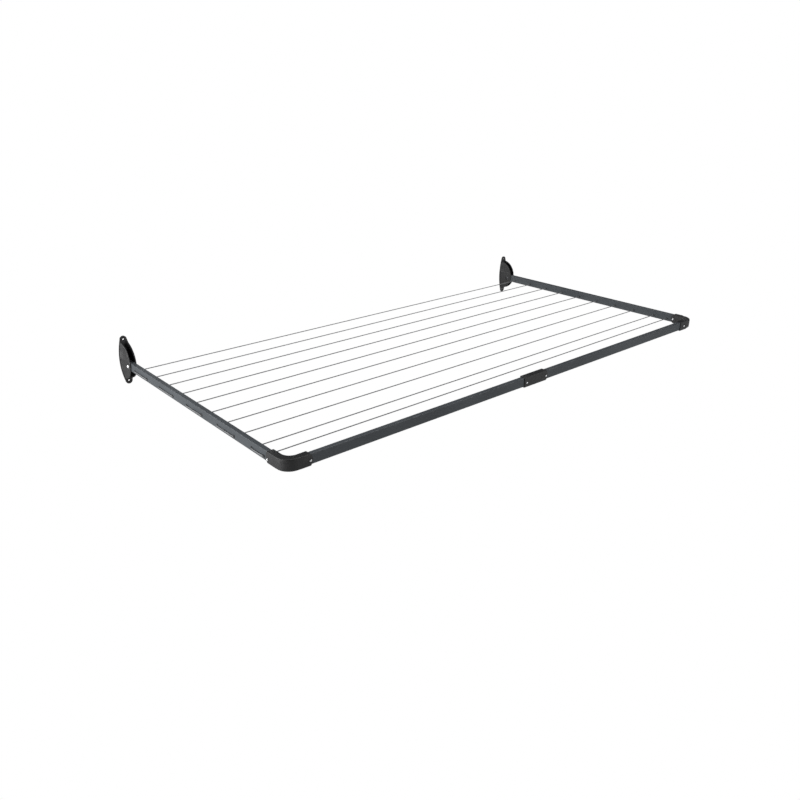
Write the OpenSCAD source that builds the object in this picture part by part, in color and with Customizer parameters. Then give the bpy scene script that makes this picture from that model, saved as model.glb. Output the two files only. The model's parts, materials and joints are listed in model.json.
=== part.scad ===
// Wall mounted fold-down clothes line rack.
// Two wall brackets carry a rectangular tube frame on one hinge line, and one long cord
// is laced back and forth between the side arms to make ten parallel drying lines.
// Millimetres. The origin is the centre of the four wall screw holes, on the wall plane.
// +X runs along the wall to the right, the rack reaches out along -Y, and +Z is up.

/* [Frame] */
// Width over the outer faces of the two side arms
frame_w = 2400; // [2000:10:2800]
// Distance from the wall to the front face of the front rail
frame_d = 1275; // [1260:5:1400]
// Thickness of the frame tube, seen from above
tube_w = 20; // [20:1:22]
// Height of the frame tube
tube_h = 38; // [34:1:40]
// Wall thickness of the frame tube
tube_wall = 1.5; // [1.2:0.1:2]
// Outer corner radius of the frame tube
tube_r = 2.5; // [2:0.5:3]

/* [Line] */
// Diameter of the clothes line cord
line_d = 4; // [3:0.1:4.3]
// Distance from the wall to the first line
first_line = 115; // [110:1:125]
// Spacing of the lines
line_pitch = 119; // [110:1:119]
// Spacing of the last two lines, in front of the even ones
last_pitch = 78; // [60:1:80]
// Height of the tube's middle above the lines
line_drop = 6; // [5:1:8]

/* [Wall bracket] */
// Radius of the half-round cheeks
cheek_r = 82.5; // [80:0.5:85]
// How far the cheeks stand out from the wall
cheek_reach = 79; // [77:1:80]
// Half width of the bracket against the wall, at its middle
base_half = 28; // [26:1:30]
// Half width of the bracket at its front rim
rim_half = 14.5; // [14.5:0.5:16]
// Spacing of the two wall screw holes in each bracket
screw_spacing = 187; // [185:1:190]
// Diameter of the wall screw holes
screw_hole_d = 8; // [7:0.5:10]
// Distance from the wall to the pivot
pivot_depth = 55; // [54:1:56]
// Height of the bracket's middle above the pivot
pivot_drop = 13; // [10:1:15]

/* [Corners and joiner] */
// Wall thickness of the moulded sleeves
sleeve_t = 3; // [2.5:0.5:3.5]
// Outer bend radius of the corner mouldings
corner_outer_r = 50; // [45:1:50]
// Inner bend radius of the corner mouldings
corner_inner_r = 35; // [30:1:38]
// Distance of the left corner's screw on the front rail from the frame's side
left_rail_screw_inset = 95; // [85:1:100]
// Distance of the right corner's screw on the front rail from the frame's side
right_rail_screw_inset = 82; // [78:1:95]
// Distance of the screw on the left arm from the frame's front
left_arm_screw_inset = 104; // [95:1:110]
// Distance of the screw on the right arm from the frame's front
right_arm_screw_inset = 96; // [85:1:100]
// Distance of the joiner's two screws from the joint of the rails
joiner_screw_reach = 59.5; // [55:0.5:62]
// Distance of the joint of the rails to the right of the frame's middle
joint_x = 8; // [0:1:10]
// Height of the tube's middle above the screws
screw_drop = 3; // [1:1:5]
// Height of the tube's middle above the screw on the left arm
left_arm_screw_drop = 9; // [3:1:10]

/* [Pivot] */
// Diameter of the pivot bolt
bolt_d = 8; // [7.5:0.5:8.5]
// Diameter of the bolt's domed head
bolt_head_d = 16; // [15:0.5:17]
// Radial play of the pivot bush on the bolt
pivot_play = 0.06; // [0.02:0.01:0.1]

/* [Hidden] */
$fn = 48;
fine_fn = 96;
eps = 0.01;
over = 1;       // how far a cutter runs past a face
far = 400;      // size of a cutter that goes right through a bracket

// Frame layout
arm_x = frame_w / 2 - tube_w / 2;
pivot_y = -pivot_depth;
tube_z = -pivot_drop;
line_z = tube_z - line_drop;
rail_y = -frame_d + tube_w / 2;
arm_tail = 40;
least_r = 0.5;
sleeve_gap = 0.2;
face_gap = 0.1;
sleeve_w = tube_w + 2 * sleeve_t;
sleeve_h = tube_h + 2 * sleeve_t;
corner_x = frame_w / 2 + sleeve_t;
corner_y = -frame_d - sleeve_t;
arm_front_y = corner_y + corner_outer_r;
rail_end_x = corner_x - corner_outer_r;
rail_butt_gap = 1;

// Lines, counted from the wall
even_lines = 9;
line_ys = [
    for (i = [0 : even_lines - 1]) -first_line - i * line_pitch,
    -first_line - (even_lines - 1) * line_pitch - last_pitch
];
line_count = len(line_ys);

// Line bushes in the arms
bush_bore_r = 2.3;
bush_body_r = 3.8;
bush_flange_r = 6;
bush_flange_t = 1.2;
bush_lip_r = 4.5;
bush_lip_t = 1;
bush_mouth_r = 2;
bush_play = 0.05;
line_bend_r = bush_bore_r + bush_mouth_r;
line_bend_x = frame_w / 2 + bush_flange_t - bush_mouth_r;

// Bracket
plate_t = 5.5;
lens_sag = 13;
lens_r = (pow(screw_spacing / 2, 2) + pow(lens_sag, 2)) / (2 * lens_sag);
ear_r = base_half - lens_sag;
cheek_y = cheek_r - cheek_reach;
slot_half = 11.5;
slot_wall = 2.5;
shell_t = 3;
panel_inset = 8;
panel_depth = 0.8;
seat_x = 15;
seat_r = 9.5;
boss_r = 12;
ledge_depth = 18;
ledge_h = 6;
ledge_gap = 0.5;
lens_steps = 24;
cheek_steps = 60;

// Pivot hardware
washer_r = 8.5;
washer_t = 1.6;
head_x = seat_x + washer_t;
pin_gap = 0.1;
bolt_head_h = 3;
pivot_screw_d = 5;
pivot_screw_reach = 14;
pivot_screw_head_h = 3.2;
hex_key_af = 5;
hex_key_depth = 1.8;
bush_r = 6;
bush_rim_r = 9;
bush_rim_t = 1.2;

// Sleeve screws, and the bowed sleeve ends that carry some of them
screw_d = 4.2;
screw_head_r = 5;
screw_head_h = 3;
screw_len = 14;
recess_w = 1.2;
recess_l = 5.5;
recess_t = 1.6;
tongue_reach = 9;
tongue_step = 0.5;   // how far the tongue's root stays inside the sleeve's corners
tongue_half = sleeve_h / 2 - tongue_step;
tongue_r = (pow(tongue_half, 2) + pow(tongue_reach, 2)) / (2 * tongue_reach);
left_rail_screw_x = left_rail_screw_inset - frame_w / 2;
right_rail_screw_x = frame_w / 2 - right_rail_screw_inset;
joiner_screw_xs = [joint_x - joiner_screw_reach, joint_x + joiner_screw_reach];
left_arm_screw_y = -frame_d + left_arm_screw_inset;
right_arm_screw_y = -frame_d + right_arm_screw_inset;
right_leg_past_screw = 32;
joiner_left_past_screw = 14.5;

// Joiner spigot and arm end plugs
spigot_len = 170;
spigot_wall = 2;
plug_cap_t = 2;
plug_depth = 12;
plug_wall = 2;

// Stopper knots
knot_r = 5;
knot_len = 8;
knot_tail = 14;

// ---- Shared shapes ----

// Rectangle with round corners, centred
module round_rect(w, h, r) {
    square([w - 2 * r, h], center = true);
    square([w, h - 2 * r], center = true);
    for (sx = [-1, 1], sy = [-1, 1])
        translate([sx * (w / 2 - r), sy * (h / 2 - r)]) circle(r);
}

// Section of the frame tube, or of a solid grown all round by grow
module tube_outline(grow = 0) {
    round_rect(tube_w + 2 * grow, tube_h + 2 * grow, max(tube_r + grow, least_r));
}

// Solid bar along -Y from y0 to y1, at the arm on side sx
module arm_bar(sx, y0, y1, grow = 0) {
    translate([sx * arm_x, y0, tube_z])
        rotate([90, 0, 0]) linear_extrude(y0 - y1) tube_outline(grow);
}

// Solid bar along +X from x0 to x1, at the front rail
module rail_bar(x0, x1, grow = 0) {
    translate([x0, rail_y, tube_z])
        rotate([90, 0, 90]) linear_extrude(x1 - x0) tube_outline(grow);
}

// Cylinder along +X from x0 to x1
module x_rod(x0, x1, r) {
    translate([x0, 0, 0]) rotate([0, 90, 0]) cylinder(r = r, h = x1 - x0);
}

// Clearance hole for a sleeve screw, along the screw's own axis from its seat
module screw_bore() {
    translate([0, 0, -screw_len]) cylinder(r = screw_d / 2 + pin_gap, h = screw_len + eps);
}

// Places a screw, or its bore, on the front face of the front rail's sleeve at x
module at_rail_screw(x) {
    translate([x, corner_y, tube_z - screw_drop]) rotate([90, 0, 0]) children();
}

// Places a screw, or its bore, on the face at x of an arm's sleeve, facing towards -X
module at_arm_screw(x, y, drop) {
    translate([x, y, tube_z - drop]) rotate([0, -90, 0]) children();
}

module at_left_arm_screw() {
    at_arm_screw(-corner_x, left_arm_screw_y, left_arm_screw_drop) children();
}

module at_right_arm_screw() {
    at_arm_screw(corner_x - sleeve_w, right_arm_screw_y, screw_drop) children();
}

// Pan head screw with a cross recess; its seat is at z = 0
module pan_screw() {
    dome_r = (pow(screw_head_r, 2) + pow(screw_head_h, 2)) / (2 * screw_head_h);
    difference() {
        intersection() {
            translate([0, 0, screw_head_h - dome_r]) sphere(dome_r);
            cylinder(r = screw_head_r, h = screw_head_h + over);
        }
        for (a = [0, 90])
            rotate(a) translate([-recess_l / 2, -recess_w / 2, screw_head_h - recess_t])
                cube([recess_l, recess_w, recess_t + over]);
    }
    translate([0, 0, over - screw_len]) cylinder(r = screw_d / 2, h = screw_len - over + eps);
}

// ---- Wall brackets ----

// Half width of the bracket's lens-shaped base at height z, made narrower by less
function lens_half(z, less) = sqrt(pow(lens_r, 2) - z * z) - lens_r + base_half - less;

// Outline of the lens between heights -top and top, in X and Z
module lens_outline(top, less) {
    zs = [for (i = [0 : lens_steps]) -top + 2 * top * i / lens_steps];
    polygon(concat(
        [for (z = zs) [lens_half(z, less), z]],
        [for (i = [lens_steps : -1 : 0]) [-lens_half(zs[i], less), zs[i]]]
    ));
}

// Half disc in Y and Z, flat side on the wall, made smaller by inset
module cheek_outline(inset) {
    r = cheek_r - inset;
    top = acos(cheek_y / r);
    polygon([for (i = [0 : cheek_steps])
        let (a = 180 - top + 2 * top * i / cheek_steps) [cheek_y + r * cos(a), r * sin(a)]]);
}

// Slab of the half disc, x from -half to half
module cheek_slab(half, inset) {
    translate([-half, 0, 0]) rotate([90, 0, 90]) linear_extrude(2 * half) cheek_outline(inset);
}

// Clam shape: a lens on the wall that tapers to the half-round rim
module clam(less, inset) {
    hull() {
        rotate([90, 0, 0]) linear_extrude(eps) lens_outline(cheek_r - inset - 1, less);
        cheek_slab(rim_half - less, inset);
    }
}

module base_plate() {
    rotate([90, 0, 0]) linear_extrude(plate_t) {
        lens_outline(screw_spacing / 2, 0);
        for (s = [-1, 1]) translate([0, s * screw_spacing / 2]) circle(ear_r);
    }
}

module bracket(sx) {
    color("#262729") translate([sx * arm_x, 0, 0]) difference() {
        union() {
            base_plate();
            difference() {
                clam(0, 0);
                // shallow panel sunk into each outer face
                difference() {
                    cheek_slab(base_half + over, panel_inset);
                    clam(panel_depth, 0);
                }
                // hollow behind each cheek, open to the wall, round the pivot boss
                difference() {
                    clam(shell_t, panel_inset + shell_t);
                    cube([2 * (slot_half + slot_wall), far, far], center = true);
                    translate([0, pivot_y, tube_z]) x_rod(-base_half, base_half, boss_r);
                }
            }
        }
        // slot for the arm, open at the front, the top and the bottom
        difference() {
            translate([-slot_half, -cheek_reach - over, -far / 2])
                cube([2 * slot_half, cheek_reach + over - plate_t, far]);
            translate([-slot_half - over, -plate_t - ledge_depth, tube_z - tube_h / 2 - ledge_gap - ledge_h])
                cube([2 * (slot_half + over), ledge_depth + over, ledge_h]);
        }
        // the rest of the hollow, through the base plate
        intersection() {
            clam(shell_t, panel_inset + shell_t);
            translate([0, over - plate_t, 0]) for (s = [-1, 1])
                translate([s * (slot_half + slot_wall + base_half / 2), 0, 0])
                    cube([base_half, 2 * plate_t, far], center = true);
        }
        translate([0, pivot_y, tube_z]) {
            x_rod(-base_half, base_half, bolt_d / 2 + pin_gap);
            x_rod(seat_x, base_half + over, seat_r);
            x_rod(-base_half - over, -seat_x, seat_r);
        }
        for (s = [-1, 1]) translate([0, over, s * screw_spacing / 2]) rotate([90, 0, 0])
            cylinder(d = screw_hole_d, h = plate_t + 2 * over);
    }
}

// ---- Pivot hardware: the bolt goes in from the outer side, the screw from the inner side ----

module at_pivot(sx) {
    translate([sx * arm_x, pivot_y, tube_z]) scale_side(sx) children();
}

// Mirrors the right-hand set to make the left-hand one
module scale_side(sx) {
    if (sx > 0) children();
    else mirror([1, 0, 0]) children();
}

// Section of a low domed head of height h, seated at y = x0
module dome_section(x0, h) {
    dome_r = (pow(bolt_head_d / 2, 2) + h * h) / (2 * h);
    intersection() {
        translate([0, x0 + h - dome_r]) circle(dome_r, $fn = fine_fn);
        translate([0, x0]) square(bolt_head_d / 2);
    }
}

// Domed bolt whose barrel is the hinge pin, tapped in its end for the screw
module pivot_bolt(sx) {
    end_x = 4 * pin_gap - head_x;
    color("#d8dadc") at_pivot(sx) difference() {
        rotate([0, 90, 0]) rotate_extrude() {
            translate([0, end_x]) square([bolt_d / 2, head_x - end_x + eps]);
            dome_section(head_x, bolt_head_h);
        }
        x_rod(end_x - over, end_x + pivot_screw_reach + 2, pivot_screw_d / 2 + pin_gap / 2);
    }
}

// Domed screw that closes the pin on the inner side
module pivot_screw(sx) {
    color("#3a3b3d") at_pivot(sx) mirror([1, 0, 0]) difference() {
        rotate([0, 90, 0]) rotate_extrude() {
            translate([0, head_x - pivot_screw_reach]) square([pivot_screw_d / 2, pivot_screw_reach + eps]);
            dome_section(head_x, pivot_screw_head_h);
        }
        translate([head_x + pivot_screw_head_h - hex_key_depth, 0, 0]) rotate([0, 90, 0])
            cylinder(r = hex_key_af / sqrt(3), h = hex_key_depth + over, $fn = 6);
    }
}

module pivot_washers(sx) {
    color("#b4b6b8") at_pivot(sx) for (x0 = [seat_x, -seat_x - washer_t]) difference() {
        x_rod(x0, x0 + washer_t, washer_r);
        x_rod(x0 - over, x0 + washer_t + over, bolt_d / 2 + 2 * pin_gap);
    }
}

// Two flanged bushes, pressed into the arm from its two sides
module pivot_bushes(sx) {
    color("#e8e6df") at_pivot(sx) for (s = [-1, 1]) scale_side(s) difference() {
        union() {
            x_rod(sleeve_gap, tube_w / 2 + eps, bush_r);
            x_rod(tube_w / 2, tube_w / 2 + bush_rim_t, bush_rim_r);
        }
        x_rod(-over, tube_w, bolt_d / 2 + pivot_play);
    }
}

// ---- Frame tubes ----

module arm(sx) {
    color("#4b4f54") difference() {
        arm_bar(sx, pivot_y + arm_tail, arm_front_y);
        arm_bar(sx, pivot_y + arm_tail + over, arm_front_y - over, -tube_wall);
        translate([sx * arm_x, pivot_y, tube_z]) x_rod(-tube_w, tube_w, bush_r + bush_play);
        for (y = line_ys) translate([sx * arm_x, y, line_z])
            x_rod(-tube_w, tube_w, bush_body_r + bush_play);
        if (sx < 0) at_left_arm_screw() screw_bore();
        else at_right_arm_screw() screw_bore();
    }
}

module arm_plug(sx) {
    rear_y = pivot_y + arm_tail;
    color("#1d1e20") {
        arm_bar(sx, rear_y + plug_cap_t, rear_y);
        difference() {
            arm_bar(sx, rear_y + eps, rear_y - plug_depth, -tube_wall - sleeve_gap);
            arm_bar(sx, rear_y - plug_cap_t, rear_y - plug_depth - over,
                -tube_wall - sleeve_gap - plug_wall);
        }
    }
}

module front_rail(sx) {
    x0 = sx < 0 ? -rail_end_x : joint_x + rail_butt_gap;
    x1 = sx < 0 ? joint_x - rail_butt_gap : rail_end_x;
    screw_xs = sx < 0 ? [left_rail_screw_x, joiner_screw_xs[0]] : [joiner_screw_xs[1], right_rail_screw_x];
    color("#43474c") difference() {
        rail_bar(x0, x1);
        rail_bar(x0 - over, x1 + over, -tube_wall);
        for (x = screw_xs) at_rail_screw(x) screw_bore();
    }
}

module front_spigot() {
    x0 = joint_x - spigot_len / 2;
    color("#a0a2a4") difference() {
        rail_bar(x0, x0 + spigot_len, -tube_wall - sleeve_gap);
        rail_bar(x0 - over, x0 + spigot_len + over, -tube_wall - sleeve_gap - spigot_wall);
        for (x = joiner_screw_xs) at_rail_screw(x) screw_bore();
    }
}

// ---- Corner mouldings and joiner ----

// Plan of a corner, its outer corner at the origin, legs along +X and +Y
module corner_plan(leg_x, leg_y) {
    difference() {
        quarter_plan(leg_x, leg_y, corner_outer_r);
        translate([sleeve_w, sleeve_w]) quarter_plan(leg_x, leg_y, corner_inner_r);
    }
}

// Rectangle with one round corner at the origin
module quarter_plan(lx, ly, r) {
    translate([r, 0]) square([lx - r, ly]);
    translate([0, r]) square([lx, ly - r]);
    translate([r, r]) circle(r, $fn = fine_fn);
}

// Bowed tongue that carries a screw past the sleeve's end; the screw is at the origin, drop below
// the sleeve's middle, the seat is at z = 0 and the tongue points along +X
module tongue(drop) {
    root_half = tongue_half + tongue_step / 2;
    translate([0, 0, -sleeve_t]) linear_extrude(sleeve_t) intersection() {
        translate([tongue_reach - tongue_r, drop]) circle(tongue_r, $fn = fine_fn);
        translate([-over, drop - root_half]) square([tongue_reach + 2 * over, 2 * root_half]);
    }
}

// Corner moulding for side sx. arm_end_y and rail_end are where its two sleeves stop.
module corner(sx, arm_end_y, rail_end) {
    leg_y = arm_end_y - corner_y;
    leg_x = corner_x - rail_end;
    translate([sx * corner_x, corner_y, tube_z - sleeve_h / 2]) scale_side(-sx)
        linear_extrude(sleeve_h) corner_plan(leg_x, leg_y);
}

module left_corner() {
    color("#202124") difference() {
        union() {
            corner(-1, left_arm_screw_y, -left_rail_screw_x);
            at_rail_screw(left_rail_screw_x) tongue(screw_drop);
            at_left_arm_screw() rotate(90) mirror([0, 1, 0]) tongue(left_arm_screw_drop);
        }
        arm_bar(-1, left_arm_screw_y + 2 * tongue_reach, arm_front_y, sleeve_gap);
        rail_bar(-rail_end_x, left_rail_screw_x + 2 * tongue_reach, sleeve_gap);
        at_rail_screw(left_rail_screw_x) screw_bore();
        at_left_arm_screw() screw_bore();
    }
}

module right_corner() {
    color("#202124") difference() {
        union() {
            corner(1, right_arm_screw_y, right_rail_screw_x - right_leg_past_screw);
            at_right_arm_screw() rotate(90) mirror([0, 1, 0]) tongue(screw_drop);
        }
        arm_bar(1, right_arm_screw_y + 2 * tongue_reach, arm_front_y, sleeve_gap);
        rail_bar(right_rail_screw_x - right_leg_past_screw - over, rail_end_x, sleeve_gap);
        at_rail_screw(right_rail_screw_x) screw_bore();
        at_right_arm_screw() screw_bore();
    }
}

module front_joiner() {
    x0 = joiner_screw_xs[0] - joiner_left_past_screw;
    x1 = joiner_screw_xs[1];
    color("#202124") difference() {
        union() {
            translate([x0, rail_y, tube_z]) rotate([90, 0, 90])
                linear_extrude(x1 - x0) square([sleeve_w, sleeve_h], center = true);
            at_rail_screw(x1) tongue(screw_drop);
        }
        rail_bar(x0 - over, x1 + 2 * tongue_reach, sleeve_gap);
        for (x = joiner_screw_xs) at_rail_screw(x) screw_bore();
    }
}

module left_corner_screws() {
    color("#d8dadc") {
        at_rail_screw(left_rail_screw_x) pan_screw();
        at_left_arm_screw() pan_screw();
    }
}

module right_corner_screws() {
    color("#d8dadc") {
        at_rail_screw(right_rail_screw_x) pan_screw();
        at_right_arm_screw() pan_screw();
    }
}

module joiner_screws() {
    color("#d8dadc") for (x = joiner_screw_xs) at_rail_screw(x) pan_screw();
}

// ---- Line ----

// Section of a line bush: its length is y, from the arm's inner face to past its outer face
module line_bush_section() {
    start = -bush_lip_t - face_gap;
    end = tube_w + bush_flange_t;
    difference() {
        union() {
            translate([bush_bore_r, start]) square([bush_body_r - bush_bore_r, end - start]);
            translate([bush_bore_r, tube_w]) square([bush_flange_r - bush_bore_r, bush_flange_t]);
            translate([bush_bore_r, start]) square([bush_lip_r - bush_bore_r, bush_lip_t]);
        }
        // rounded mouth, so that the cord bends over a smooth edge
        difference() {
            translate([bush_bore_r - over, end - bush_mouth_r]) square(bush_mouth_r + over);
            translate([bush_bore_r + bush_mouth_r, end - bush_mouth_r]) circle(bush_mouth_r);
        }
    }
}

module line_bushes(sx) {
    color("#17181a") for (y = line_ys)
        translate([sx * (frame_w / 2 - tube_w), y, line_z]) rotate([0, sx * 90, 0])
            rotate_extrude() line_bush_section();
}

// One straight line between the two arms
module line_run(i) {
    color("#9a9c9c") translate([0, line_ys[i], line_z]) x_rod(-line_bend_x, line_bend_x, line_d / 2);
}

// Return of the cord along an arm's outer face, from line i to the next
module line_return(sx, i) {
    y0 = line_ys[i];
    y1 = line_ys[i + 1];
    translate([sx * line_bend_x, 0, line_z]) scale_side(sx) {
        translate([0, y0 - line_bend_r, 0]) rotate_extrude(angle = 90)
            translate([line_bend_r, 0]) circle(line_d / 2);
        translate([0, y1 + line_bend_r, 0]) rotate(-90) rotate_extrude(angle = 90)
            translate([line_bend_r, 0]) circle(line_d / 2);
        translate([line_bend_r, y0 - line_bend_r, 0]) rotate([90, 0, 0])
            cylinder(r = line_d / 2, h = y0 - y1 - 2 * line_bend_r);
    }
}

module line_returns(sx) {
    first = sx < 0 ? 0 : 1;
    color("#9a9c9c") for (i = [first : 2 : line_count - 2]) line_return(sx, i);
}

// Stopper knots that end the cord outside the right arm
module line_end_knots() {
    x0 = frame_w / 2 + bush_flange_t + face_gap;
    color("#9a9c9c") for (y = [line_ys[0], line_ys[line_count - 1]]) translate([0, y, line_z]) {
        x_rod(line_bend_x, x0 + knot_len + knot_tail, line_d / 2);
        translate([x0 + knot_len / 2, 0, 0]) rotate([0, 90, 0]) rotate_extrude() intersection() {
            translate([knot_r - knot_len / 2, 0]) circle(knot_len / 2);
            translate([0, -knot_len]) square(2 * knot_len);
        }
    }
}

bracket(-1);  // left_bracket
bracket(1);  // right_bracket
pivot_bolt(-1);  // left_pivot_bolt
pivot_bolt(1);  // right_pivot_bolt
pivot_screw(-1);  // left_pivot_screw
pivot_screw(1);  // right_pivot_screw
pivot_washers(-1);  // left_pivot_washers
pivot_washers(1);  // right_pivot_washers
arm(-1);  // left_arm
arm(1);  // right_arm
arm_plug(-1);  // left_arm_plug
arm_plug(1);  // right_arm_plug
pivot_bushes(-1);  // left_pivot_bushes
pivot_bushes(1);  // right_pivot_bushes
line_bushes(-1);  // left_line_bushes
line_bushes(1);  // right_line_bushes
left_corner();
right_corner();
front_rail(-1);  // left_front_rail
front_rail(1);  // right_front_rail
front_joiner();
front_spigot();
left_corner_screws();
right_corner_screws();
joiner_screws();
line_run(0);  // line_run_01
line_run(1);  // line_run_02
line_run(2);  // line_run_03
line_run(3);  // line_run_04
line_run(4);  // line_run_05
line_run(5);  // line_run_06
line_run(6);  // line_run_07
line_run(7);  // line_run_08
line_run(8);  // line_run_09
line_run(9);  // line_run_10
line_returns(-1);  // left_line_returns
line_returns(1);  // right_line_returns
line_end_knots();
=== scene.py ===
"""Looks of the wall mounted fold-down clothes line rack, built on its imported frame.

Metres. +X runs along the wall to the right, the rack reaches out along -Y, and +Z is up.
"""

import json
import math

import bmesh
import bpy
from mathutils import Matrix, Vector


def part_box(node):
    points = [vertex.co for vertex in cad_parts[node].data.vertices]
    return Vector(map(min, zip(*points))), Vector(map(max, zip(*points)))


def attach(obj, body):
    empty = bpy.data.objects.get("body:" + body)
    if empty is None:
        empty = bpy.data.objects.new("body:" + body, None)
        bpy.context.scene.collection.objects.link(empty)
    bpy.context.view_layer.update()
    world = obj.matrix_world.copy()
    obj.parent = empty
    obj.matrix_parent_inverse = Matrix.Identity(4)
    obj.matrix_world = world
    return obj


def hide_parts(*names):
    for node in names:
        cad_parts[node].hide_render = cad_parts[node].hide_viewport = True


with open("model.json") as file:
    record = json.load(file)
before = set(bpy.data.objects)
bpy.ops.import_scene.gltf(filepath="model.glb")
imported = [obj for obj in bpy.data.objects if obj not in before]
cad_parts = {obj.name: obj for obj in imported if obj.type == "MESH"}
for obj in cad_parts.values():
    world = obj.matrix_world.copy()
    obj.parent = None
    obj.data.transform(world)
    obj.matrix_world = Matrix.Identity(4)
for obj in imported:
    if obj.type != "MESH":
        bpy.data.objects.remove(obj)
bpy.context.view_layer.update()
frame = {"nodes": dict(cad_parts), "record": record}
nodes = frame["nodes"]
scene = bpy.context.scene

RACK_BODY = "line_frame"
SIDES = ("left", "right")

# ---- Sizes taken from the frame ----

arm_low, arm_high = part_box("right_arm")
rail_low, rail_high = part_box("right_front_rail")
arm_x = (arm_low.x + arm_high.x) / 2
tube_half_w = (arm_high.x - arm_low.x) / 2
tube_half_h = (arm_high.z - arm_low.z) / 2
tube_z = (arm_low.z + arm_high.z) / 2
rail_y = (rail_low.y + rail_high.y) / 2
line_names = [f"line_run_{i:02d}" for i in range(1, 11)]
line_boxes = [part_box(name) for name in line_names]
line_ys = [(low.y + high.y) / 2 for low, high in line_boxes]
line_z = (line_boxes[0][0].z + line_boxes[0][1].z) / 2
line_end_x = line_boxes[0][1].x
cord_r = (line_boxes[0][1].z - line_boxes[0][0].z) / 2
bend_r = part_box("right_line_returns")[1].x - line_end_x - cord_r

# Outer rounding of the frame tubes, which the frame's boxes don't give
TUBE_ROUND = 0.0025

# ---- Camera, light and floor ----

CAMERA_PLACE = (-2.3359, -3.1667, 1.1377)
CAMERA_TURN_DEG = (67.166, 0.055, -40.461)
CAMERA_LENS = 34.94
CAMERA_SENSOR = 36
FLOOR_Z = -1.9
FLOOR_SIDES = 96
FLOOR_R = 60
FLOOR_GLOW = 0.55
WORLD_GLOW = 0.10
WORLD_GLOW_COLOUR = (0.95, 0.97, 1.0, 1)
# Name, place, target, diameter and power of each area light
LIGHTS = (
    ("top_light", (0.0, -1.0, 3.0), (0.0, -0.8, 0), 2.6, 64),
    ("left_light", (-3.2, -0.1, 0.5), (-1.2, -0.4, 0), 2.8, 112),
    ("front_light", (1.8, -4.6, 0.8), (0.4, -1.2, -0.05), 3.2, 70),
    ("right_light", (3.4, -0.4, -0.6), (1.2, -0.6, 0), 2.4, 16),
    ("back_light", (0.2, 3.2, -0.8), (0, -0.6, 0), 3.0, 50),
)


def make_camera():
    data = bpy.data.cameras.new("camera")
    data.lens = CAMERA_LENS
    data.sensor_width = CAMERA_SENSOR
    camera = bpy.data.objects.new("camera", data)
    camera.location = CAMERA_PLACE
    camera.rotation_euler = [math.radians(turn) for turn in CAMERA_TURN_DEG]
    scene.collection.objects.link(camera)
    scene.camera = camera


def make_area_light(name, place, target, size, power):
    data = bpy.data.lights.new(name, "AREA")
    data.shape = "DISK"
    data.size = size
    data.energy = power
    light = bpy.data.objects.new(name, data)
    light.location = place
    aim = Vector(target) - Vector(place)
    light.rotation_euler = aim.to_track_quat("-Z", "Y").to_euler()
    light.visible_camera = False
    scene.collection.objects.link(light)


def show_white_to_camera(tree, white, glow, output):
    """Gives the camera the white shader, and every other ray the glow."""
    seen = tree.nodes.new("ShaderNodeLightPath").outputs["Is Camera Ray"]
    mix = tree.nodes.new("ShaderNodeMixShader")
    tree.links.new(seen, mix.inputs["Fac"])
    tree.links.new(glow.outputs[0], mix.inputs[1])
    tree.links.new(white.outputs[0], mix.inputs[2])
    tree.links.new(mix.outputs[0], output.inputs["Surface"])


def make_world():
    """White to the camera, and a dim even glow to the object."""
    world = bpy.data.worlds.new("studio")
    world.use_nodes = True
    tree = world.node_tree
    white = tree.nodes["Background"]
    white.inputs["Color"].default_value = (1, 1, 1, 1)
    glow = tree.nodes.new("ShaderNodeBackground")
    glow.inputs["Color"].default_value = WORLD_GLOW_COLOUR
    glow.inputs["Strength"].default_value = WORLD_GLOW
    show_white_to_camera(tree, white, glow, tree.nodes["World Output"])
    scene.world = world


def make_floor():
    """Plain floor, white to the camera, that returns a softer light to the object."""
    bpy.ops.mesh.primitive_circle_add(vertices=FLOOR_SIDES, radius=FLOOR_R, fill_type="NGON",
                                      location=(0, 0, FLOOR_Z))
    floor = bpy.context.object
    floor.name = "floor"
    material = bpy.data.materials.new("pale_floor")
    material.use_nodes = True
    tree = material.node_tree
    tree.nodes.remove(tree.nodes["Principled BSDF"])
    white = tree.nodes.new("ShaderNodeEmission")
    glow = tree.nodes.new("ShaderNodeEmission")
    glow.inputs["Strength"].default_value = FLOOR_GLOW
    show_white_to_camera(tree, white, glow, tree.nodes["Material Output"])
    floor.data.materials.append(material)


scene.view_settings.view_transform = "Standard"
make_camera()
make_world()
make_floor()
for light_values in LIGHTS:
    make_area_light(*light_values)


# ---- Materials ----


def add_node(tree, kind, values=None, links=None, **properties):
    """Adds one shader node with its input values, linked inputs and properties."""
    made = tree.nodes.new(kind)
    for name, value in properties.items():
        setattr(made, name, value)
    for name, value in (values or {}).items():
        made.inputs[name].default_value = value
    for name, socket in (links or {}).items():
        tree.links.new(socket, made.inputs[name])
    return made


def start_material(name, metallic, specular=0.5):
    """An empty node material: returns it with its tree, its shader and the object coordinates."""
    material = bpy.data.materials.new(name)
    material.use_nodes = True
    tree = material.node_tree
    shader = tree.nodes["Principled BSDF"]
    shader.inputs["Metallic"].default_value = metallic
    shader.inputs["Specular IOR Level"].default_value = specular
    place = tree.nodes.new("ShaderNodeTexCoord").outputs["Object"]
    return material, tree, shader, place


def noise(tree, place, scale, detail=3.0, stretch=(1, 1, 1)):
    """Noise over the object, stretched along its axes. Most values lie within 0.3 to 0.7."""
    mapped = add_node(tree, "ShaderNodeMapping", {"Scale": stretch}, {"Vector": place})
    made = add_node(tree, "ShaderNodeTexNoise", {"Scale": scale, "Detail": detail},
                    {"Vector": mapped.outputs["Vector"]})
    return made.outputs["Fac"]


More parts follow.
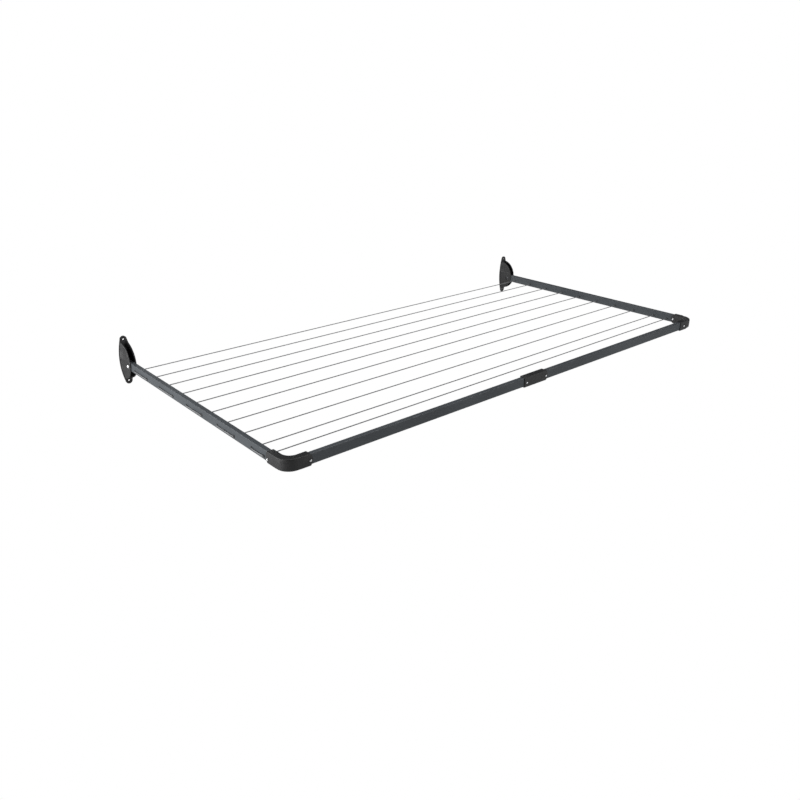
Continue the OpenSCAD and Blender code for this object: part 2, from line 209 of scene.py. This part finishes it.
def spread(tree, value, low, high, to_low=0.0, to_high=1.0):
    """Maps value from low..high to to_low..to_high, with a soft start and end."""
    made = add_node(tree, "ShaderNodeMapRange",
                    {"From Min": low, "From Max": high, "To Min": to_low, "To Max": to_high},
                    {"Value": value}, interpolation_type="SMOOTHSTEP")
    return made.outputs["Result"]


def maths(tree, operation, first, second=None):
    """One Math node on sockets or plain numbers."""
    made = tree.nodes.new("ShaderNodeMath")
    made.operation = operation
    for index, value in enumerate((first, second)):
        if isinstance(value, (int, float)):
            made.inputs[index].default_value = value
        elif value is not None:
            tree.links.new(value, made.inputs[index])
    return made.outputs["Value"]


def mix_colours(tree, share, first, second):
    """Mixes two colours, or colour sockets, by share."""
    made = tree.nodes.new("ShaderNodeMix")
    made.data_type = "RGBA"
    tree.links.new(share, made.inputs["Factor"])
    for socket, value in ((made.inputs[6], first), (made.inputs[7], second)):
        if isinstance(value, tuple):
            socket.default_value = (*value, 1)
        else:
            tree.links.new(value, socket)
    return made.outputs[2]


def bump(tree, height, distance, below=None):
    """A bump of that height in metres, over another bump."""
    links = {"Height": height}
    if below is not None:
        links["Normal"] = below
    made = add_node(tree, "ShaderNodeBump", {"Distance": distance, "Strength": 1.0}, links)
    return made.outputs["Normal"]


def finish_material(tree, shader, colour, roughness, normal):
    tree.links.new(colour, shader.inputs["Base Color"])
    tree.links.new(roughness, shader.inputs["Roughness"])
    tree.links.new(normal, shader.inputs["Normal"])


def tube_edges(tree, place):
    """1 along the rounded long edges of the frame tubes, and 0 on their flat faces."""
    parts = add_node(tree, "ShaderNodeSeparateXYZ", links={"Vector": place})
    from_middle = maths(tree, "ABSOLUTE", parts.outputs["X"])
    off_arm = maths(tree, "ABSOLUTE", maths(tree, "SUBTRACT", from_middle, arm_x))
    off_rail = maths(tree, "ABSOLUTE", maths(tree, "SUBTRACT", parts.outputs["Y"], rail_y))
    across = maths(tree, "MINIMUM", off_arm, off_rail)
    up = maths(tree, "ABSOLUTE", maths(tree, "SUBTRACT", parts.outputs["Z"], tube_z))
    near = maths(tree, "MINIMUM", maths(tree, "SUBTRACT", across, tube_half_w),
                 maths(tree, "SUBTRACT", up, tube_half_h))
    return spread(tree, near, -TUBE_ROUND, -TUBE_ROUND / 4)


PAINT_DARK, PAINT_LIGHT = (0.052, 0.058, 0.064), (0.063, 0.070, 0.077)
# The third paint colour lightens the rounded tube edges: partly worn paint, partly a painted edge
# highlight.
PAINT_WEAR_AND_EDGE_HIGHLIGHT, PAINT_WORN = (0.12, 0.125, 0.13), (0.085, 0.091, 0.098)
PLASTIC_DARK, PLASTIC_LIGHT = (0.009, 0.009, 0.0095), (0.014, 0.014, 0.0148)
PLASTIC_SCUFFED = (0.035, 0.035, 0.036)
NYLON_DARK, NYLON_LIGHT = (0.70, 0.68, 0.61), (0.80, 0.78, 0.72)
# Cord colours: painted shade in the grooves of the lay and painted light on its crests; the dirty
# grey is real dirt.
CORD_GROOVE_SHADE, CORD_CREST_LIGHT = (0.14, 0.142, 0.146), (0.21, 0.213, 0.218)
CORD_DIRTY = (0.12, 0.12, 0.123)
CORD_LAY = 0.012
CORD_STRANDS = 3.0


def powder_coat():
    """Satin charcoal powder coat: mottled, with orange peel, and tube edges lightened partly as
    worn paint and partly as a painted edge highlight.
    """
    material, tree, shader, place = start_material("frame_paint", 0.0, 0.2)
    tone = noise(tree, place, 5.0, 4.0)
    cloud = noise(tree, place, 60.0, 3.0)
    colour = mix_colours(tree, spread(tree, tone, 0.3, 0.7), PAINT_DARK, PAINT_LIGHT)
    # Lighter rounded tube edges: partly wear, partly a painted edge highlight.
    edge_wear_and_highlight = maths(tree, "MULTIPLY", tube_edges(tree, place),
                   spread(tree, cloud, 0.45, 0.65, 0.1, 0.9))
    colour = mix_colours(tree, edge_wear_and_highlight, colour, PAINT_WEAR_AND_EDGE_HIGHLIGHT)
    worn = spread(tree, cloud, 0.58, 0.76, 0.0, 0.3)
    colour = mix_colours(tree, worn, colour, PAINT_WORN)
    roughness = maths(tree, "SUBTRACT", spread(tree, cloud, 0.3, 0.7, 0.36, 0.48),
                      maths(tree, "MULTIPLY", edge_wear_and_highlight, 0.1))
    peel = noise(tree, place, 650.0, 1.0)
    grit = noise(tree, place, 2600.0, 1.0)
    normal = bump(tree, grit, 0.00002, bump(tree, peel, 0.00006))
    finish_material(tree, shader, colour, roughness, normal)
    return material


def black_plastic():
    """Moulded black plastic with a fine grain, flow marks and faint scuffs."""
    material, tree, shader, place = start_material("black_plastic", 0.0, 0.42)
    flow = noise(tree, place, 18.0, 3.0, (1, 1, 2.5))
    scuff = noise(tree, place, 120.0, 5.0, (3, 1, 0.6))
    colour = mix_colours(tree, spread(tree, flow, 0.35, 0.7), PLASTIC_DARK, PLASTIC_LIGHT)
    colour = mix_colours(tree, spread(tree, scuff, 0.6, 0.8, 0.0, 0.4), colour, PLASTIC_SCUFFED)
    roughness = spread(tree, flow, 0.3, 0.7, 0.42, 0.58)
    grain = add_node(tree, "ShaderNodeTexVoronoi", {"Scale": 1500.0}, {"Vector": place})
    normal = bump(tree, grain.outputs["Distance"], 0.00006)
    finish_material(tree, shader, colour, roughness, normal)
    return material


def steel(name, base, dull, rough_low, rough_high):
    """Turned or plated steel: fine scratches, and a slight bloom in its roughness."""
    material, tree, shader, place = start_material(name, 1.0)
    bloom = noise(tree, place, 90.0, 4.0)
    scratch = noise(tree, place, 900.0, 2.0, (0.15, 1, 1))
    colour = mix_colours(tree, spread(tree, bloom, 0.35, 0.7), base, dull)
    roughness = maths(tree, "ADD", spread(tree, bloom, 0.3, 0.7, rough_low, rough_high),
                      spread(tree, scratch, 0.45, 0.6, 0.0, 0.06))
    finish_material(tree, shader, colour, roughness, bump(tree, scratch, 0.00002))
    return material


def nylon():
    """Natural nylon: off-white, faintly mottled."""
    material, tree, shader, place = start_material("nylon", 0.0)
    shader.inputs["Subsurface Weight"].default_value = 0.15
    shader.inputs["Subsurface Radius"].default_value = (0.003, 0.003, 0.002)
    mottle = noise(tree, place, 300.0, 3.0)
    colour = mix_colours(tree, spread(tree, mottle, 0.3, 0.7), NYLON_DARK, NYLON_LIGHT)
    roughness = spread(tree, mottle, 0.3, 0.7, 0.35, 0.5)
    finish_material(tree, shader, colour, roughness, bump(tree, mottle, 0.00005))
    return material


def cord_cover():
    """Grey vinyl cover over a laid core, whose lay shows as a shallow helix, with painted shade in
    its grooves and painted light on its crests.

    The UV map gives turns round the cord and metres along it.
    """
    material, tree, shader, place = start_material("line_cord", 0.0, 0.3)
    uv = add_node(tree, "ShaderNodeUVMap", uv_map="lay").outputs["UV"]
    parts = add_node(tree, "ShaderNodeSeparateXYZ", links={"Vector": uv})
    turns = maths(tree, "ADD", maths(tree, "MULTIPLY", parts.outputs["X"], CORD_STRANDS),
                  maths(tree, "DIVIDE", parts.outputs["Y"], CORD_LAY))
    wave = maths(tree, "SINE", maths(tree, "MULTIPLY", turns, 2 * math.pi))
    lay_relief_and_shade = spread(tree, wave, -1.0, 1.0)
    dirt = noise(tree, place, 40.0, 4.0)
    # Darker in the lay's grooves and lighter on its crests: painted shade and painted light.
    colour = mix_colours(tree, lay_relief_and_shade, CORD_GROOVE_SHADE, CORD_CREST_LIGHT)
    colour = mix_colours(tree, spread(tree, dirt, 0.45, 0.75, 0.0, 0.5), colour, CORD_DIRTY)
    roughness = spread(tree, dirt, 0.3, 0.7, 0.35, 0.55)
    finish_material(tree, shader, colour, roughness, bump(tree, lay_relief_and_shade, 0.00018))
    return material


PAINT = powder_coat()
PLASTIC = black_plastic()
BRIGHT = steel("bright_steel", (0.80, 0.81, 0.82), (0.66, 0.67, 0.68), 0.34, 0.46)
ZINC = steel("zinc_steel", (0.46, 0.47, 0.48), (0.33, 0.34, 0.35), 0.34, 0.50)
BLACKENED = steel("black_steel", (0.055, 0.055, 0.058), (0.085, 0.085, 0.09), 0.30, 0.42)
NYLON = nylon()
CORD = cord_cover()
MATERIALS = {
    "frame_paint": PAINT, "black_plastic": PLASTIC, "bright_steel": BRIGHT,
    "zinc_steel": ZINC, "black_steel": BLACKENED, "nylon": NYLON,
    "line_cord": CORD,
}
SLOT_OF = {entry["node"]: entry["material_slot"] for entry in frame["record"]["subparts"]}
BODY_OF = {
    name: body
    for body, names in frame["record"]["behaviour"]["bodies"].items() for name in names
}


# ---- Mesh helpers ----

SHARP_ANGLE = 28
SHADE_ANGLE = 35
FLAT_ANGLE = 0.6
WELD = 2e-6


def add_piece(name, mesh, body, slot, replaced=()):
    """Links a mesh as a piece of the object, gives it its material and lets it ride on its body."""
    piece = bpy.data.objects.new(name, mesh)
    scene.collection.objects.link(piece)
    mesh.materials.clear()
    mesh.materials.append(MATERIALS[slot])
    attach(piece, body)
    if replaced:
        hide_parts(*replaced)
    return piece


def shade(mesh):
    """Smooth shading that keeps edges sharper than SHADE_ANGLE."""
    for polygon in mesh.polygons:
        polygon.use_smooth = True
    mesh.set_sharp_from_angle(angle=math.radians(SHADE_ANGLE))


def bared(obj):
    """The object's mesh with its modifiers applied, and the object gone."""
    graph = bpy.context.evaluated_depsgraph_get()
    mesh = bpy.data.meshes.new_from_object(obj.evaluated_get(graph))
    bpy.data.objects.remove(obj)
    return mesh


def clean_copy(node):
    """A copy of a CAD node's mesh, welded, with its flat faces in one piece."""
    source = nodes[node].data
    mesh = bpy.data.meshes.new(node + "_copy")
    faces = [tuple(polygon.vertices) for polygon in source.polygons]
    mesh.from_pydata([v.co for v in source.vertices], [], faces)
    work = bmesh.new()
    work.from_mesh(mesh)
    bmesh.ops.remove_doubles(work, verts=work.verts, dist=WELD)
    bmesh.ops.dissolve_limit(work, angle_limit=math.radians(FLAT_ANGLE),
                             verts=work.verts, edges=work.edges)
    work.to_mesh(mesh)
    work.free()
    return mesh


def bevelled(mesh, width, segments):
    """The mesh with its sharp edges rounded."""
    holder = bpy.data.objects.new("holder", mesh)
    scene.collection.objects.link(holder)
    bevel = holder.modifiers.new("edges", "BEVEL")
    bevel.limit_method = "ANGLE"
    bevel.angle_limit = math.radians(SHARP_ANGLE)
    bevel.width = width
    bevel.segments = segments
    bevel.use_clamp_overlap = True
    return bared(holder)


def combined(mesh, other, operation):
    """The mesh cut by another, or joined to it."""
    body = bpy.data.objects.new("body", mesh)
    tool = bpy.data.objects.new("tool", other)
    for obj in (body, tool):
        scene.collection.objects.link(obj)
    boolean = body.modifiers.new("boolean", "BOOLEAN")
    boolean.operation = operation
    boolean.solver = "EXACT"
    boolean.object = tool
    mesh = bared(body)
    bpy.data.objects.remove(tool)
    return mesh


def softened(node, width, segments, envelope=None, bosses=None):
    """A rounded copy of a CAD node that stands in for it.

    It is kept within the envelope, and the bosses are joined on.
    """
    mesh = bevelled(clean_copy(node), width, segments)
    if envelope is not None:
        mesh = combined(mesh, envelope, "INTERSECT")
    if bosses is not None:
        mesh = combined(mesh, bosses, "UNION")
    shade(mesh)
    return add_piece(node + "_moulded", mesh, BODY_OF[node], SLOT_OF[node], [node])


def sweep(name, path, radius, sides):
    """A closed tube along path, with a UV map of turns round and metres along."""
    count = len(path)
    tangents = [(path[min(i + 1, count - 1)] - path[max(i - 1, 0)]).normalized()
                for i in range(count)]
    side = tangents[0].orthogonal().normalized()
    verts, lengths = [], [0.0]
    for i, (point, tangent) in enumerate(zip(path, tangents)):
        side = (side - tangent * side.dot(tangent)).normalized()
        other = tangent.cross(side)
        for k in range(sides):
            turn = 2 * math.pi * k / sides
            verts.append(point + radius * (math.cos(turn) * side + math.sin(turn) * other))
        if i:
            lengths.append(lengths[-1] + (point - path[i - 1]).length)
    faces = []
    for i in range(count - 1):
        here, there = i * sides, (i + 1) * sides
        faces += [(here + k, here + (k + 1) % sides, there + (k + 1) % sides, there + k)
                  for k in range(sides)]
    caps = [tuple(reversed(range(sides))), tuple(range((count - 1) * sides, count * sides))]
    mesh = bpy.data.meshes.new(name)
    mesh.from_pydata(verts, [], faces + caps)
    layer = mesh.uv_layers.new(name="lay")
    for polygon in mesh.polygons:
        ks = [v % sides for v in polygon.vertices]
        wraps = polygon.loop_total == 4 and max(ks) == sides - 1 and min(ks) == 0
        for loop, v, k in zip(polygon.loop_indices, polygon.vertices, ks):
            turn = sides if wraps and k == 0 else k
            layer.data[loop].uv = (turn / sides, lengths[v // sides])
    for polygon in mesh.polygons:
        polygon.use_smooth = polygon.loop_total == 4
    return mesh


# ---- The clothes line: one cord laced through both arms, with a knot at each end ----

BEND_STEPS = 6
RUN_STEP = 0.05
SAG = 0.0003
SAME_POINT = 1e-5
CORD_SIDES = 12
KNOT_LEN = 0.009
KNOT_TAIL = 0.011
KNOT_LEAN = 0.003
KNOT_TURNS = 2
KNOT_STEPS = 14
KNOT_PLAY = 0.0001
FLANGE_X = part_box("right_line_bushes")[1].x


def run_points(y, start, end):
    """Points along one line from x = start to x = end, with a slight sag."""
    steps = round(abs(end - start) / RUN_STEP)
    points = []
    for i in range(steps + 1):
        share = i / steps
        x = start + (end - start) * share
        points.append(Vector((x, y, line_z - 4 * SAG * share * (1 - share))))
    return points


def return_points(side, y0, y1):
    """Points round one return outside an arm, from the line at y0 to the line at y1."""
    points = []
    for centre_y, first in ((y0 - bend_r, 90), (y1 + bend_r, 0)):
        for i in range(BEND_STEPS + 1):
            turn = math.radians(first - 90 * i / BEND_STEPS)
            points.append(Vector((side * (line_end_x + bend_r * math.cos(turn)),
                                  centre_y + bend_r * math.sin(turn), line_z)))
    return points


def knot_points(y):
    """A barrel knot outside the right arm, from the cord's tail inwards to the bush."""
    centre = Vector((0, y, line_z))
    wrap_r = 2 * cord_r + KNOT_PLAY
    low, high = FLANGE_X + cord_r, FLANGE_X + KNOT_LEN
    points = [centre + Vector((low, -wrap_r - KNOT_LEAN, -KNOT_TAIL)),
              centre + Vector((low, -wrap_r - KNOT_LEAN / 4, -KNOT_TAIL / 2))]
    for i in range(KNOT_TURNS * KNOT_STEPS + 1):
        share = i / (KNOT_TURNS * KNOT_STEPS)
        turn = 2 * math.pi * KNOT_TURNS * share
        points.append(centre + Vector((low + (high - low) * share,
                                       -wrap_r * math.cos(turn), wrap_r * math.sin(turn))))
    for i in range(1, BEND_STEPS):
        turn = math.pi * i / BEND_STEPS
        points.append(centre + Vector((high + wrap_r / 2 * math.sin(turn),
                                       -wrap_r / 2 * (1 + math.cos(turn)), 0)))
    points.append(centre + Vector((high, 0, 0)))
    return points


def make_cord():
    path = knot_points(line_ys[0])
    side = 1
    for i, y in enumerate(line_ys):
        path += run_points(y, side * line_end_x, -side * line_end_x)
        side = -side
        if i + 1 < len(line_ys):
            path += return_points(side, y, line_ys[i + 1])
    path += reversed(knot_points(line_ys[-1]))
    merged = [path[0]]
    for point in path[1:]:
        if (point - merged[-1]).length > SAME_POINT:
            merged.append(point)
    mesh = sweep("clothes_line", merged, cord_r, CORD_SIDES)
    replaced = line_names + ["left_line_returns", "right_line_returns", "line_end_knots"]
    add_piece("clothes_line", mesh, RACK_BODY, "line_cord", replaced)


make_cord()

# ---- Sleeves: rounded long edges, and a raised collar round each screw ----

SLEEVE_EDGE = 0.0005
BEND_ROUND = {"left_corner": 0.0030, "right_corner": 0.0085}
LEG_ROUND = 0.0018
BEND_OUTER_R = 0.050
BEND_FADE = 0.016
CORNER_STEPS = 24
FADE_STEPS = 6
ROUND_STEPS = 7
ENVELOPE_W = 0.036
ENVELOPE_SPARE = 0.01
ENVELOPE_PLAY = 0.00002
SCREW_HEAD_H = 0.003
SCREW_REACH = 0.03
SCREW_EDGE = 0.00025
COLLAR_IN = 0.0053
COLLAR_OUT = 0.0072
COLLAR_H = 0.0009
COLLAR_ROOT = 0.0012
COLLAR_SIDES = 40
COLLAR_RIM_STEPS = 6


def clusters(points):
    """Groups of points that lie within SCREW_REACH of each group's first point."""
    groups = []
    for point in points:
        home = next((group for group in groups if (group[0] - point).length < SCREW_REACH), None)
        if home is None:
            groups.append([point])
        else:
            home.append(point)
    return groups


def screw_seats(node):
    """The seat centre and the outward direction of each pan head screw in a node."""
    seats = []
    for group in clusters([v.co.copy() for v in nodes[node].data.vertices]):
        low = Vector([min(p[i] for p in group) for i in range(3)])
        high = Vector([max(p[i] for p in group) for i in range(3)])
        axis = 0 if high.x - low.x > high.y - low.y else 1
        out = Vector([-1 if i == axis else 0 for i in range(3)])
        seat = (low + high) / 2
        seat[axis] = low[axis] + SCREW_HEAD_H
        seats.append((seat, out))
    return seats


def collars(seats):
    """Raised rings with a round rim, one round each screw seat."""
    section = [(COLLAR_IN, -COLLAR_ROOT)]
    half = (COLLAR_OUT - COLLAR_IN) / 2
    for i in range(COLLAR_RIM_STEPS + 1):
        turn = math.pi * (1 - i / COLLAR_RIM_STEPS)
        section.append((COLLAR_IN + half + half * math.cos(turn), COLLAR_H * math.sin(turn)))
    section.append((COLLAR_OUT, -COLLAR_ROOT))
    count = len(section)
    verts, faces = [], []
    for seat, out in seats:
        side = out.orthogonal().normalized()
        other = out.cross(side)
        first = len(verts)
        for k in range(COLLAR_SIDES):
            turn = 2 * math.pi * k / COLLAR_SIDES
            spoke = math.cos(turn) * side + math.sin(turn) * other
            verts += [seat + radius * spoke + height * out for radius, height in section]
        for k in range(COLLAR_SIDES):
            here, there = first + k * count, first + (k + 1) % COLLAR_SIDES * count
            faces += [(here + j, there + j, there + (j + 1) % count, here + (j + 1) % count)
                      for j in range(count)]
    mesh = bpy.data.meshes.new("collars")
    mesh.from_pydata(verts, [], faces)
    return mesh


def outer_wall(node):
    """Stations along a sleeve's outer wall: place and inward direction in plan, and rounding."""
    low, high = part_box(node)
    if not node.endswith("corner"):
        ends = (low.x - ENVELOPE_SPARE, high.x + ENVELOPE_SPARE)
        return [((x, low.y), (0, 1), LEG_ROUND) for x in ends]
    side = -1 if low.x + high.x < 0 else 1
    wall_x = low.x if side < 0 else high.x
    leg_end = (high.x if side < 0 else low.x) - side * ENVELOPE_SPARE
    centre_x, centre_y = wall_x - side * BEND_OUTER_R, low.y + BEND_OUTER_R
    bend_round = BEND_ROUND[node]
    fades = [i / FADE_STEPS for i in range(FADE_STEPS + 1)]
    rounds = [LEG_ROUND + (bend_round - LEG_ROUND) * t * t * (3 - 2 * t) for t in fades]
    stations = [((leg_end, low.y), (0, 1), LEG_ROUND)]
    stations += [((centre_x - side * BEND_FADE * (1 - t), low.y), (0, 1), r)
                 for t, r in zip(fades, rounds)]
    for i in range(1, CORNER_STEPS):
        turn = math.pi / 2 * i / CORNER_STEPS
        spoke = (side * math.sin(turn), -math.cos(turn))
        place = (centre_x + BEND_OUTER_R * spoke[0], centre_y + BEND_OUTER_R * spoke[1])
        stations.append((place, (-spoke[0], -spoke[1]), bend_round))
    stations += [((wall_x, centre_y + BEND_FADE * t), (-side, 0), r)
                 for t, r in zip(fades, reversed(rounds))]
    stations.append(((wall_x, high.y + ENVELOPE_SPARE), (-side, 0), LEG_ROUND))
    return stations


def sleeve_envelope(node):
    """A solid round the sleeve, with round outer long edges, most so outside a corner's bend."""
    low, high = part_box(node)
    middle_z = (low.z + high.z) / 2
    half = (high.z - low.z) / 2 + ENVELOPE_PLAY
    verts, faces = [], []
    for (x, y), (in_x, in_y), radius in outer_wall(node):
        quarter = []
        for i in range(ROUND_STEPS + 1):
            turn = math.pi / 2 * i / ROUND_STEPS
            depth = radius * (1 - math.cos(turn)) - ENVELOPE_PLAY
            quarter.append((depth, half - radius * (1 - math.sin(turn))))
        section = [(depth, -z) for depth, z in reversed(quarter)] + quarter
        section += [(ENVELOPE_W, half), (ENVELOPE_W, -half)]
        verts += [(x + in_x * depth, y + in_y * depth, middle_z + z) for depth, z in section]
    count = len(section)
    stations = len(verts) // count
    for k in range(stations - 1):
        here, there = k * count, (k + 1) * count
        faces += [(here + j, there + j, there + (j + 1) % count, here + (j + 1) % count)
                  for j in range(count)]
    last = (stations - 1) * count
    faces += [tuple(range(count)), tuple(last + j for j in reversed(range(count)))]
    mesh = bpy.data.meshes.new("envelope")
    mesh.from_pydata(verts, [], faces)
    work = bmesh.new()
    work.from_mesh(mesh)
    bmesh.ops.recalc_face_normals(work, faces=work.faces)
    work.to_mesh(mesh)
    work.free()
    return mesh


SCREWS_OF = {
    "left_corner": "left_corner_screws",
    "right_corner": "right_corner_screws",
    "front_joiner": "joiner_screws",
}
for name, screws in SCREWS_OF.items():
    softened(name, SLEEVE_EDGE, 2, sleeve_envelope(name), collars(screw_seats(screws)))
    softened(screws, SCREW_EDGE, 2)

# ---- Other moulded and turned parts, with rounded edges ----

# Part, rounding of its edges, and steps in the rounding
ROUNDED_PARTS = (
    ("_bracket", 0.0008, 3),
    ("_arm_plug", 0.0005, 3),
    ("_pivot_screw", 0.0003, 2),
    ("_pivot_washers", 0.0002, 2),
)
for side in SIDES:
    for part, edge_round, segments in ROUNDED_PARTS:
        softened(side + part, edge_round, segments)

# ---- Materials on the parts that show as they are ----

for name, piece in nodes.items():
    if not piece.hide_render:
        piece.data.materials.clear()
        piece.data.materials.append(MATERIALS[SLOT_OF[name]])
